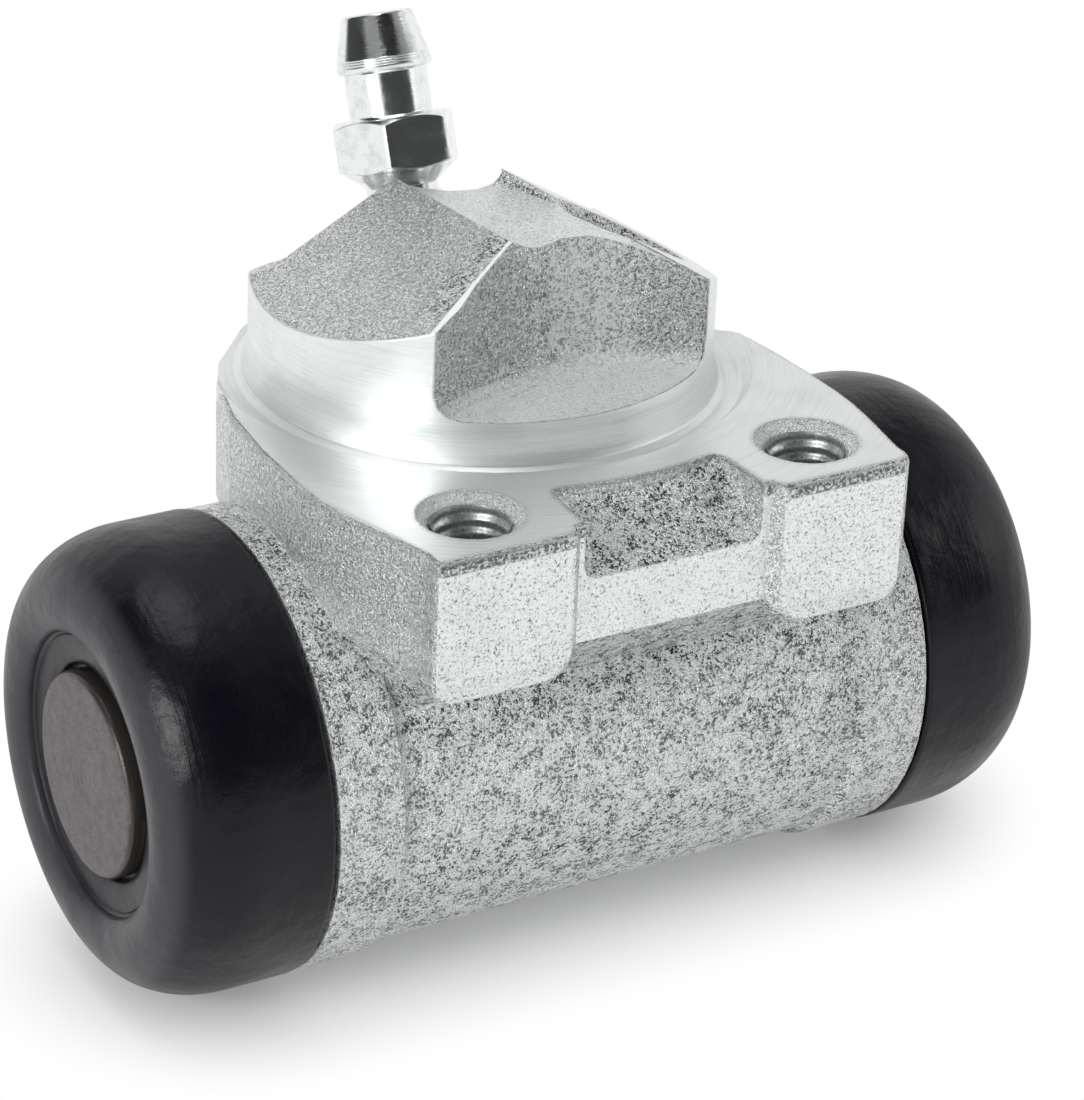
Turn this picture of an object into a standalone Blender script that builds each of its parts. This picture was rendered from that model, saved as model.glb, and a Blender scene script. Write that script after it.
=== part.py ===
"""Drum brake wheel cylinder: a cast housing with a pilot spigot and two threaded ears, two opposed
pistons with cup seals, cup expanders and a return spring between them, rubber end boots, and a
bleed screw. The origin is where the spigot's axis meets the machined mounting face. +Z points out
of that face, X runs along the bore and -Y points towards the ears."""
from math import asin, cos, degrees, pi, radians, sin, sqrt, tan

import bmesh
import bpy
from mathutils import Matrix, Vector
from mathutils.geometry import interpolate_bezier

MM = 0.001

# Fit between neighbouring pieces, and the casting's extra height before it is machined
CLEARANCE = 0.3 * MM
CAST_EXTRA = 3.0 * MM

# Bore and barrel
BORE_D = 20.6 * MM
BORE_Y = -8.1 * MM
BORE_DROP = 21.6 * MM
BORE_LEAD_IN = 0.8 * MM
BARREL_D = 31.8 * MM
COLLAR_D = 32.8 * MM
COLLAR_LENGTH = 4.8 * MM
COLLAR_STEP = 0.6 * MM
SHOULDER_X = 23.5 * MM
NOSE_D = 27.2 * MM
NOSE_LENGTH = 6.0 * MM
NOSE_CHAMFER = 0.6 * MM
BOOT_GROOVE_D = 25.4 * MM
BOOT_GROOVE_WIDTH = 2.4 * MM
BOOT_GROOVE_SETBACK = 1.6 * MM

# Mounting pad, ears and the rough pocket between the ears
PAD_LEFT_FLARE = 2.8 * MM
PAD_RIGHT_FLARE = 1.2 * MM
PAD_LEFT_WIDEST_Y = -13.8 * MM
PAD_RIGHT_WIDEST_Y = -16.3 * MM
PAD_BACK_R = 18.0 * MM
PAD_LEFT_MEET_DEG = 46.0
PAD_RIGHT_MEET_DEG = 9.0
PAD_FULLNESS = 0.4
PAD_THICKNESS = 9.0 * MM
PAD_EDGE_ROUND = 0.4 * MM
EAR_THICKNESS = 10.7 * MM
EAR_FRONT_Y = -27.8 * MM
EAR_HALF_SPAN = 18.6 * MM
EAR_GAP = 14.8 * MM
EAR_INNER_R = 2.2 * MM
EAR_OUTER_R = 1.6 * MM
EAR_CORNER_R = 1.4 * MM
EAR_EDGE_ROUND = 0.5 * MM
EAR_ROOT_Y = -13.0 * MM
WEB_SETBACK = 1.1 * MM
POCKET_BACK_R = 22.0 * MM
POCKET_STEP = 0.9 * MM
POCKET_LIP = 4.2 * MM
POCKET_BACK_HALF = 6.6 * MM
POCKET_FILLET = 0.8 * MM
NECK_INSET = 0.35 * MM
NECK_GUSSET_Y = -21.8 * MM
NECK_GUSSET_DROP = 3.2 * MM
NECK_FOOT_FRONT_Y = -19.0 * MM
NECK_FOOT_BACK_Y = 6.0 * MM
NECK_FOOT_HALF = 15.5 * MM
SCREW_HOLE_X = 13.15 * MM
SCREW_HOLE_Y = -22.2 * MM
SCREW_HOLE_D = 5.5 * MM
SCREW_HOLE_CHAMFER_D = 7.3 * MM
SCREW_HOLE_DEPTH = 9.2 * MM

# Pilot spigot, its two roof facets, the scooped saddle between them and the rough notch in front
SPIGOT_D = 33.0 * MM
ROOT_RISE = 1.2 * MM
ROOT_DEPTH = 1.1 * MM
ROOT_WIDTH = 1.0 * MM
RELIEF_WIDTH = 1.9 * MM
LEFT_FACET_HEIGHT = 12.7 * MM
LEFT_FACET_TILT_DEG = 22.7
LEFT_FACET_AZIMUTH_DEG = 176.0
RIGHT_FACET_HEIGHT = 14.1 * MM
RIGHT_FACET_TILT_DEG = 29.9
RIGHT_FACET_AZIMUTH_DEG = 6.1
SADDLE_FRONT_Y = -8.0 * MM
SADDLE_FRONT = ((-2.6, 12.1), (-1.2, 11.35), (0.2, 11.05), (1.9, 11.4), (4.0, 11.25), (6.7, 10.3), (9.3, 9.15))
SADDLE_BACK_Y = 7.3 * MM
SADDLE_BACK = ((-3.4, 11.4), (-2.4, 10.6), (-0.9, 10.1), (1.2, 9.6), (3.2, 9.4), (4.6, 9.65), (5.4, 10.3))
NOTCH_FLOOR = 2.2 * MM
NOTCH_FILLET = 1.8 * MM
NOTCH_FOOT = ((-10.8, -12.5), (-6.4, -10.8), (-2.6, -9.7), (0.6, -9.0), (3.6, -9.1), (6.4, -9.6), (8.8, -10.6), (11.2, -12.1))
NOTCH_TOP = ((-10.7, -12.5), (-6.2, -9.9), (-2.6, -8.1), (0.6, -7.5), (3.6, -7.5), (6.4, -7.9), (8.8, -9.3), (11.2, -12.1))
NOTCH_TOP_Z = 11.0 * MM

# Pipe port in the right facet, tapped M10 x 1
PORT_X = 10.6 * MM
PORT_Y = -1.0 * MM
PORT_D = 9.0 * MM
PORT_DEPTH = 12.0 * MM
PORT_CHAMFER_D = 10.4 * MM
DRILLING_D = 3.0 * MM

# Bleed screw, measured along its own axis from the foot of the skirt under its hexagon
BLEEDER_Y = 12.1 * MM
BLEEDER_Z = 8.4 * MM
BLEEDER_TILT_DEG = 21.0
BLEEDER_TURN_DEG = -4.0
BLEEDER_SEAT_DEPTH = 4.0 * MM
BLEEDER_SEAT_WALL = 5.3 * MM
BLEEDER_SHANK_D = 6.4 * MM
BLEEDER_UNDERCUT_D = 5.2 * MM
BLEEDER_UNDERCUT = 0.5 * MM
BLEEDER_SHANK_LENGTH = 12.0 * MM
BLEEDER_TIP_D = 2.6 * MM
BLEEDER_HEX = 8.2 * MM
BLEEDER_HEX_HEIGHT = 3.8 * MM
BLEEDER_SKIRT_HEIGHT = 1.2 * MM
BLEEDER_NECK_D = 6.0 * MM
BLEEDER_NECK_HEIGHT = 3.4 * MM
BLEEDER_BARB_D = 6.9 * MM
BLEEDER_BARB_BAND = 0.7 * MM
BLEEDER_BARB_HEIGHT = 3.4 * MM
BLEEDER_BARB_TOP_D = 5.1 * MM
BLEEDER_BORE_D = 2.0 * MM

# Pistons
PISTON_LENGTH = 13.4 * MM
PISTON_CHAMFER = 0.6 * MM
STUB_D = 14.6 * MM
STUB_LENGTH = 6.1 * MM
STUB_CHAMFER = 0.35 * MM
STUB_GROOVE_D = 13.2 * MM
STUB_GROOVE_WIDTH = 2.0 * MM
STUB_PROUD = 1.1 * MM

# Rubber end boots
BOOT_D = 33.0 * MM
BOOT_WALL = 2.2 * MM
BOOT_STANDOUT = 0.4 * MM
BOOT_SHOULDER_LENGTH = 6.4 * MM
BOOT_CREST_D = 24.0 * MM
BOOT_RECESS_D = 20.0 * MM
BOOT_RECESS_DISH = 0.9 * MM

# Cup seals, cup expanders and return spring
CUP_LENGTH = 5.4 * MM
CUP_WEB = 1.9 * MM
CUP_LIP = 0.7 * MM
CUP_LIP_ROOT = 2.6 * MM
EXPANDER_SHEET = 0.6 * MM
EXPANDER_RIM_DEPTH = 1.7 * MM
EXPANDER_BOSS_D = 6.6 * MM
EXPANDER_BOSS_HEIGHT = 1.4 * MM
SPRING_LENGTH = 23.6 * MM
SPRING_WIRE_D = 1.1 * MM
SPRING_COIL_D = 10.8 * MM
SPRING_TURNS = 6.5
SPRING_CLOSED_TURNS = 0.9

# Facets of the round surfaces
ROUND_STEPS = 56
SMALL_STEPS = 24
SOFT_STEPS = 30
COIL_STEPS = 12

# Places that follow from the sizes above
PAD_LEFT = EAR_HALF_SPAN + PAD_LEFT_FLARE
PAD_RIGHT = EAR_HALF_SPAN + PAD_RIGHT_FLARE
SPIGOT_TOP = max(LEFT_FACET_HEIGHT, RIGHT_FACET_HEIGHT) + CAST_EXTRA
PISTON_R = BORE_D / 2 - CLEARANCE
BORE_AXIS = Vector((0, BORE_Y, -BORE_DROP))
EXPANDER_X = SPRING_LENGTH / 2 + CLEARANCE
CUP_FLOOR_X = EXPANDER_X + EXPANDER_SHEET + CLEARANCE
CUP_BACK_X = CUP_FLOOR_X + CUP_WEB
PISTON_X = CUP_BACK_X + CLEARANCE
STUB_X = PISTON_X + PISTON_LENGTH
PISTON_FACE_X = STUB_X + STUB_LENGTH
NOSE_X = SHOULDER_X + NOSE_LENGTH
HALF_GAP = EAR_GAP / 2
OUTSIDE = 60 * MM

# Frames whose +Z points out of the bore to the right and to the left
RIGHT = Matrix.Translation(BORE_AXIS) @ Matrix.Rotation(pi / 2, 4, "Y")
LEFT = Matrix.Translation(BORE_AXIS) @ Matrix.Rotation(-pi / 2, 4, "Y")
BLEEDER = Matrix.Translation((0, BLEEDER_Y, BLEEDER_Z)) @ Matrix.Rotation(-radians(BLEEDER_TILT_DEG), 4, "X")


def facet_frame(height, tilt_deg, azimuth_deg):
    """Frame of a roof facet: its +Z is the facet's outward normal."""
    turn = Matrix.Rotation(radians(azimuth_deg), 4, "Z")
    return Matrix.Translation((0, 0, height)) @ turn @ Matrix.Rotation(radians(tilt_deg), 4, "Y")


def arc(centre, radii, start_deg, end_deg, steps):
    """Points along an elliptical arc."""
    points = []
    for i in range(steps + 1):
        angle = radians(start_deg + (end_deg - start_deg) * i / steps)
        points.append((centre[0] + radii[0] * cos(angle), centre[1] + radii[1] * sin(angle)))
    return points


def place(obj, collection, matrix=None, parent=None):
    """Links an object to a collection and sets where it stands."""
    collection.objects.link(obj)
    if parent is not None:
        obj.parent = parent
    if matrix is not None:
        obj.matrix_world = matrix
    return obj


def new_object(name, mesh, collection, matrix=None, parent=None):
    return place(bpy.data.objects.new(name, mesh), collection, matrix, parent)


def turned(name, profile, collection, matrix, steps, closed=False, parent=None):
    """Turns a profile of (radius, height) points about the frame's Z. The outer side runs downwards."""
    mesh = bpy.data.meshes.new(name)
    edges = [(i, i + 1) for i in range(len(profile) - 1)]
    if closed:
        edges.append((len(profile) - 1, 0))
    mesh.from_pydata([(radius, 0, height) for radius, height in profile], edges, [])
    obj = new_object(name, mesh, collection, matrix, parent)
    screw = obj.modifiers.new("Turn", "SCREW")
    screw.steps = steps
    screw.render_steps = steps
    screw.use_merge_vertices = True
    screw.merge_threshold = 0.00002
    screw.use_smooth_shade = True
    return obj


def prism(name, outline, bottom, top, collection, matrix=None):
    """A flat outline of (x, y) points raised between two heights."""
    mesh = bpy.data.meshes.new(name)
    shape = bmesh.new()
    face = shape.faces.new([shape.verts.new((x, y, bottom)) for x, y in outline])
    face.normal_update()
    if face.normal.z > 0:
        face.normal_flip()
    raised = bmesh.ops.extrude_face_region(shape, geom=[face])
    lifted = [item for item in raised["geom"] if isinstance(item, bmesh.types.BMVert)]
    bmesh.ops.translate(shape, verts=lifted, vec=(0, 0, top - bottom))
    bmesh.ops.recalc_face_normals(shape, faces=shape.faces)
    shape.to_mesh(mesh)
    shape.free()
    return new_object(name, mesh, collection, matrix)


def box(name, low, high, collection, matrix=None):
    """A box between two corners."""
    outline = [(low[0], low[1]), (high[0], low[1]), (high[0], high[1]), (low[0], high[1])]
    return prism(name, outline, low[2], high[2], collection, matrix)


def loft(name, sections, collection):
    """A skin over level sections that all have the same number of points, top section first."""
    mesh = bpy.data.meshes.new(name)
    shape = bmesh.new()
    rings = [[shape.verts.new(point) for point in section] for section in sections]
    count = len(rings[0])
    for upper, lower in zip(rings, rings[1:]):
        for i in range(count):
            shape.faces.new((upper[i], upper[(i + 1) % count], lower[(i + 1) % count], lower[i]))
    shape.faces.new(rings[0])
    shape.faces.new(rings[-1])
    bmesh.ops.recalc_face_normals(shape, faces=shape.faces)
    shape.to_mesh(mesh)
    shape.free()
    return new_object(name, mesh, collection)


def bevel(obj, width, segments, limit_deg=30):
    modifier = obj.modifiers.new("Rounding", "BEVEL")
    modifier.width = width
    modifier.segments = segments
    modifier.limit_method = "ANGLE"
    modifier.angle_limit = radians(limit_deg)
    return modifier


def boolean(obj, other, operation):
    modifier = obj.modifiers.new(other.name, "BOOLEAN")
    modifier.operation = operation
    modifier.solver = "EXACT"
    modifier.object = other
    modifier.use_self = operation == "UNION"


def finish(name, colour, roughness, metallic):
    """A Principled material."""
    material = bpy.data.materials.new(name)
    material.use_nodes = True
    shader = material.node_tree.nodes["Principled BSDF"]
    shader.inputs["Base Color"].default_value = (*colour, 1)
    shader.inputs["Roughness"].default_value = roughness
    shader.inputs["Metallic"].default_value = metallic
    return material


def pad_side(sign, half, widest_y, meet_deg):
    """One side of the pad, from its ear past its widest point to the round back."""
    angle = radians(meet_deg)
    ear = Vector((EAR_HALF_SPAN - EAR_EDGE_ROUND / 2, EAR_FRONT_Y + WEB_SETBACK, 0))
    widest = Vector((half, widest_y, 0))
    meet = Vector((PAD_BACK_R * cos(angle), PAD_BACK_R * sin(angle), 0))
    tangent = Vector((-sin(angle), cos(angle), 0))
    flare = Vector((0, (widest.y - ear.y) / 3, 0))
    reach = (meet - widest).length * PAD_FULLNESS
    points = interpolate_bezier(ear, ear + (widest - ear) / 3, widest - flare, widest, 6)
    points += interpolate_bezier(widest, widest + Vector((0, reach, 0)), meet - tangent * reach, meet, 6)[1:]
    return [(sign * point.x, point.y) for point in points]


def pad_outline():
    """The pad seen from above: straight in front, widest beside the spigot, round behind it."""
    back_r = (PAD_BACK_R, PAD_BACK_R)
    points = pad_side(1, PAD_RIGHT, PAD_RIGHT_WIDEST_Y, PAD_RIGHT_MEET_DEG)
    points += arc((0, 0), back_r, PAD_RIGHT_MEET_DEG, 180 - PAD_LEFT_MEET_DEG, 20)[1:-1]
    points += pad_side(-1, PAD_LEFT, PAD_LEFT_WIDEST_Y, PAD_LEFT_MEET_DEG)[::-1]
    return points


def ear_section(side, y, inner_inset, outer_inset, edge_inset):
    """An ear's outline across the casting at one depth, drawn in from its full size by the insets."""
    inner = HALF_GAP + inner_inset
    outer = EAR_HALF_SPAN - outer_inset
    low = edge_inset - EAR_THICKNESS
    high = -edge_inset
    edge = EAR_EDGE_ROUND
    points = arc((inner + EAR_INNER_R, low + EAR_INNER_R), (EAR_INNER_R, EAR_INNER_R), 180, 270, 4)
    points += arc((outer - EAR_OUTER_R, low + EAR_OUTER_R), (EAR_OUTER_R, EAR_OUTER_R), 270, 360, 4)
    points += arc((outer - edge, high - edge), (edge, edge), 0, 90, 2)
    points += arc((inner + edge, high - edge), (edge, edge), 90, 180, 2)
    return [(side * x, y, z) for x, z in points]


def build_ear(side, collection):
    """An ear: a block in front of the pad whose lower and front corners are rounded."""
    outer_r = EAR_CORNER_R if side > 0 else EAR_EDGE_ROUND
    sections = []
    for share in (0, 0.1, 0.3, 0.6, 1):
        depth = EAR_CORNER_R * share
        insets = []
        for corner in (EAR_CORNER_R, outer_r, EAR_EDGE_ROUND):
            left = max(corner - depth, 0)
            insets.append(corner - sqrt(corner * corner - left * left))
        sections.append(ear_section(side, EAR_FRONT_Y + depth, *insets))
    sections.append(ear_section(side, EAR_ROOT_Y, 0, 0, 0))
    return loft("ear", sections, collection)


def build_pad(collection):
    """The mounting pad as one plate with its two ears."""
    pad = prism("pad_plate", pad_outline(), -PAD_THICKNESS, 0, collection)
    bevel(pad, PAD_EDGE_ROUND, 2, 40)
    boolean(pad, build_ear(-1, collection), "UNION")
    boolean(pad, build_ear(1, collection), "UNION")
    return pad


def build_neck(collection):
    """The casting between the pad and the barrel, with a gusset under the ears and a tapering back."""
    inset = (PAD_BACK_R - NECK_INSET) / PAD_BACK_R
    pad_front = EAR_FRONT_Y + WEB_SETBACK
    gusset_z = -EAR_THICKNESS - NECK_GUSSET_DROP
    levels = (
        (-2 * PAD_EDGE_ROUND, 0.0, inset, inset),
        (-PAD_THICKNESS + PAD_EDGE_ROUND, 0.0, inset, inset * 0.94),
        (gusset_z, 0.15, NECK_GUSSET_Y / pad_front, inset * 0.72),
        (-BORE_DROP, 1.0, NECK_FOOT_FRONT_Y / pad_front, NECK_FOOT_BACK_Y / PAD_BACK_R),
    )
    sections = []
    for height, narrowing, front, back in levels:
        section = []
        for x, y in pad_outline():
            half = PAD_RIGHT if x > 0 else PAD_LEFT
            width = inset + (NECK_FOOT_HALF / half - inset) * narrowing
            section.append((x * width, y * (back if y > 0 else front), height))
        sections.append(section)
    return loft("neck", sections, collection)


def build_spigot(collection):
    """The pilot spigot as cast, left tall enough for the roof facets and wide enough for turning."""
    radius = SPIGOT_D / 2 + ROOT_WIDTH
    foot = -PAD_THICKNESS / 3
    profile = [(0, SPIGOT_TOP), (radius, SPIGOT_TOP), (radius, foot), (0, foot)]
    return turned("spigot", profile, collection, None, ROUND_STEPS)


def build_turning_cut(collection):
    """The lathe's cut round the spigot: its wall, the curved root and the shallow relief in the face."""
    wall = SPIGOT_D / 2
    root = wall + ROOT_WIDTH
    rim = root + RELIEF_WIDTH
    top = SPIGOT_TOP + CAST_EXTRA
    profile = [(rim + ROOT_DEPTH / 2, top), (rim + ROOT_DEPTH / 2, ROOT_DEPTH)]
    profile += arc((root, 0), (RELIEF_WIDTH, ROOT_DEPTH), 350, 270, 2)
    profile += arc((root, ROOT_RISE), (ROOT_WIDTH, ROOT_RISE + ROOT_DEPTH), 270, 180, 3)[1:]
    profile += [(wall, top)]
    return turned("turning_cut", profile, collection, None, ROUND_STEPS, closed=True)


def build_barrel(name, collection):
    """The barrel, solid, with its end collars, noses and boot grooves."""
    collar = SHOULDER_X - COLLAR_LENGTH
    groove = SHOULDER_X + BOOT_GROOVE_SETBACK
    half = [
        (NOSE_D / 2 - NOSE_CHAMFER, NOSE_X),
        (NOSE_D / 2, NOSE_X - NOSE_CHAMFER),
        (NOSE_D / 2, groove + BOOT_GROOVE_WIDTH),
        (BOOT_GROOVE_D / 2, groove + BOOT_GROOVE_WIDTH),
        (BOOT_GROOVE_D / 2, groove),
        (NOSE_D / 2, groove),
        (NOSE_D / 2, SHOULDER_X),
        (COLLAR_D / 2, SHOULDER_X),
        (COLLAR_D / 2, collar),
        (BARREL_D / 2, collar - COLLAR_STEP),
    ]
    profile = [(0, NOSE_X)] + half + [(radius, -height) for radius, height in reversed(half)] + [(0, -NOSE_X)]
    return turned(name, profile, collection, RIGHT, ROUND_STEPS)


def build_bore_cut(collection):
    radius = BORE_D / 2
    lead = BORE_LEAD_IN
    half = [(radius + 2 * lead, NOSE_X + lead), (radius, NOSE_X - lead)]
    profile = [(0, NOSE_X + lead)] + half + [(r, -h) for r, h in reversed(half)] + [(0, -NOSE_X - lead)]
    return turned("bore_cut", profile, collection, RIGHT, ROUND_STEPS)


def build_pocket_cut(collection):
    """The rough pocket between the ears: its floor slopes from an arc about the spigot to the web's lip."""
    front = EAR_FRONT_Y + WEB_SETBACK
    slope = (POCKET_STEP - POCKET_LIP) / (front + POCKET_BACK_R)
    half_angle = degrees(asin(POCKET_BACK_HALF / POCKET_BACK_R))
    outline = arc((0, 0), (POCKET_BACK_R, POCKET_BACK_R), 270 + half_angle, 270 - half_angle, 8)
    outline += [(-HALF_GAP, front - HALF_GAP), (HALF_GAP, front - HALF_GAP)]
    top = [(x, y, HALF_GAP) for x, y in outline]
    floor = [(x, y, -POCKET_STEP + (y + POCKET_BACK_R) * slope) for x, y in outline]
    pocket = loft("pocket_cut", [top, floor], collection)
    bevel(pocket, POCKET_FILLET, 2, 40)
    return pocket


def build_roof_cuts(collection):
    """The two sloping facets on top of the spigot and the saddle scooped out between them."""
    size = OUTSIDE
    left_frame = facet_frame(LEFT_FACET_HEIGHT, LEFT_FACET_TILT_DEG, LEFT_FACET_AZIMUTH_DEG)
    right_frame = facet_frame(RIGHT_FACET_HEIGHT, RIGHT_FACET_TILT_DEG, RIGHT_FACET_AZIMUTH_DEG)
    left = box("left_facet_cut", (-size, -size, 0), (size, size, size), collection, left_frame)
    right = box("right_facet_cut", (-size, -size, 0), (size, size, size), collection, right_frame)
    span = SADDLE_BACK_Y - SADDLE_FRONT_Y
    sections = []
    for along in (-0.6, -0.2, 0.2, 0.6, 1.0, 1.4):
        y = SADDLE_FRONT_Y + span * along
        section = []
        for front, back in zip(SADDLE_FRONT, SADDLE_BACK):
            x = front[0] + (back[0] - front[0]) * along
            z = front[1] + (back[1] - front[1]) * along
            section.append((x * MM, y, z * MM))
        section.append((section[-1][0], y, size))
        section.append((section[0][0], y, size))
        sections.append(section)
    saddle = loft("saddle_cut", sections, collection)
    return [left, right, saddle]


def build_notch_cut(collection):
    """The rough notch in front of the spigot: drafted walls that curve down to a ledge."""
    reach = SPIGOT_D
    clear = (SPIGOT_TOP - NOTCH_FLOOR) / NOTCH_FILLET
    sections = []
    for rise, fillet in ((0, 1), (0.15, 0.5), (0.5, 0.15), (1, 0), (clear, 0)):
        z = NOTCH_FLOOR + NOTCH_FILLET * rise
        lean = (z - NOTCH_FLOOR) / (NOTCH_TOP_Z - NOTCH_FLOOR)
        wall = []
        for foot, top in zip(NOTCH_FOOT, NOTCH_TOP):
            x = (foot[0] + (top[0] - foot[0]) * lean) * MM
            y = (foot[1] + (top[1] - foot[1]) * lean) * MM
            wall.append((x, y - NOTCH_FILLET * fillet, z))
        left = (-reach, wall[0][1] - reach / 3, z)
        right = (reach, wall[-1][1] - reach / 2, z)
        sections.append(wall + [right, (reach, -reach, z), (-reach, -reach, z), left])
    return loft("notch_cut", sections[::-1], collection)


def build_hole_cuts(collection):
    """Tapped holes for the fixing screws, the pipe port and the bleed screw, and their drillings."""
    cuts = []
    radius = SCREW_HOLE_D / 2
    chamfer = SCREW_HOLE_CHAMFER_D / 2 - radius
    for side in (-1, 1):
        profile = [
            (0, chamfer),
            (radius + 2 * chamfer, chamfer),
            (radius, -chamfer),
            (radius, -SCREW_HOLE_DEPTH + radius / 2),
            (0, -SCREW_HOLE_DEPTH),
        ]
        frame = Matrix.Translation((side * SCREW_HOLE_X, SCREW_HOLE_Y, 0))
        cuts.append(turned("screw_hole_cut", profile, collection, frame, SMALL_STEPS))

    facet = facet_frame(RIGHT_FACET_HEIGHT, RIGHT_FACET_TILT_DEG, RIGHT_FACET_AZIMUTH_DEG)
    normal = facet.to_3x3() @ Vector((0, 0, 1))
    height = RIGHT_FACET_HEIGHT - (normal.x * PORT_X + normal.y * PORT_Y) / normal.z
    frame = Matrix.Translation((PORT_X, PORT_Y, height)) @ facet.to_3x3().to_4x4()
    radius = PORT_D / 2
    chamfer = PORT_CHAMFER_D / 2 - radius
    drill = DRILLING_D / 2
    point = (radius - drill) * tan(radians(31))
    to_bore = (height + BORE_DROP) / normal.z - BORE_D / 2 + drill
    profile = [
        (0, chamfer),
        (radius + 2 * chamfer, chamfer),
        (radius, -chamfer),
        (radius, -PORT_DEPTH),
        (drill, -PORT_DEPTH - point),
        (drill, -to_bore),
        (0, -to_bore),
    ]
    cuts.append(turned("port_cut", profile, collection, frame, SMALL_STEPS))

    radius = BLEEDER_SHANK_D / 2 + CLEARANCE
    bottom = BLEEDER_SHANK_LENGTH + CLEARANCE
    to_bore = (BLEEDER_Z + BORE_DROP) / cos(radians(BLEEDER_TILT_DEG))
    profile = [
        (0, -BLEEDER_SEAT_DEPTH + 2 * MM),
        (radius, -BLEEDER_SEAT_DEPTH + 2 * MM),
        (radius, -bottom),
        (drill, -bottom - (radius - drill)),
        (drill, -to_bore),
        (0, -to_bore),
    ]
    cuts.append(turned("bleeder_hole_cut", profile, collection, BLEEDER, SMALL_STEPS))
    return cuts


def build_housing(parts, cutters, material, parent):
    """The housing: one casting, bored, faced, turned and drilled."""
    housing = build_barrel("housing", parts)
    housing.parent = parent
    housing.data.materials.append(material)
    size = OUTSIDE
    seat = box("bleeder_seat_cut", (-size, -BLEEDER_SEAT_WALL, -BLEEDER_SEAT_DEPTH), (size, size, size), cutters, BLEEDER)
    bevel(seat, 0.8 * MM, 2)
    boolean(housing, build_neck(cutters), "UNION")
    boolean(housing, build_pad(cutters), "UNION")
    boolean(housing, build_pocket_cut(cutters), "DIFFERENCE")
    boolean(housing, build_spigot(cutters), "UNION")
    boolean(housing, build_turning_cut(cutters), "DIFFERENCE")
    for cut in build_roof_cuts(cutters) + [seat, build_notch_cut(cutters), build_bore_cut(cutters)]:
        boolean(housing, cut, "DIFFERENCE")
    for cut in build_hole_cuts(cutters):
        boolean(housing, cut, "DIFFERENCE")
    return housing


def piston_profile():
    """From the outer face of the stub to the inner face against the cup seal."""
    groove_top = PISTON_FACE_X - STUB_PROUD - CLEARANCE
    radius = STUB_D / 2
    return [
        (0, PISTON_FACE_X),
        (radius - STUB_CHAMFER, PISTON_FACE_X),
        (radius, PISTON_FACE_X - STUB_CHAMFER),
        (radius, groove_top),
        (STUB_GROOVE_D / 2, groove_top),
        (STUB_GROOVE_D / 2, groove_top - STUB_GROOVE_WIDTH),
        (radius, groove_top - STUB_GROOVE_WIDTH),
        (radius, STUB_X),
        (PISTON_R - PISTON_CHAMFER, STUB_X),
        (PISTON_R, STUB_X - PISTON_CHAMFER),
        (PISTON_R, PISTON_X + PISTON_CHAMFER),
        (PISTON_R - PISTON_CHAMFER, PISTON_X),
        (0, PISTON_X),
    ]


def cup_profile():
    """A cup seal: a flat back against the piston and a lip that opens towards the fluid."""
    tip = CUP_BACK_X - CUP_LENGTH
    return [
        (0, CUP_BACK_X),
        (PISTON_R - 0.5 * MM, CUP_BACK_X),
        (PISTON_R, CUP_BACK_X - 0.6 * MM),
        (PISTON_R, tip + 0.3 * MM),
        (PISTON_R - 0.3 * MM, tip),
        (PISTON_R - CUP_LIP, tip),
        (PISTON_R - CUP_LIP_ROOT * 0.6, (tip + CUP_FLOOR_X) / 2),
        (PISTON_R - CUP_LIP_ROOT, CUP_FLOOR_X - 0.4 * MM),
        (PISTON_R - CUP_LIP_ROOT - 0.4 * MM, CUP_FLOOR_X),
        (0, CUP_FLOOR_X),
    ]


def expander_profile():
    """A pressed cup expander: a dish whose rim leans out into the cup's lip, with a spring boss."""
    sheet = EXPANDER_SHEET
    floor = EXPANDER_X
    rim_r = PISTON_R - CUP_LIP_ROOT - 0.4 * MM - CLEARANCE
    boss_r = EXPANDER_BOSS_D / 2
    boss = floor - EXPANDER_BOSS_HEIGHT
    tip = floor - EXPANDER_RIM_DEPTH
    return [
        (0, boss + sheet),
        (boss_r - sheet, boss + sheet),
        (boss_r - sheet, floor + sheet),
        (rim_r - 0.4 * MM, floor + sheet),
        (rim_r, floor + sheet - 0.4 * MM),
        (rim_r + 0.5 * MM, tip),
        (rim_r + 0.5 * MM - sheet, tip),
        (rim_r - sheet, floor),
        (boss_r, floor),
        (boss_r, boss),
        (0, boss),
    ]


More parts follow.
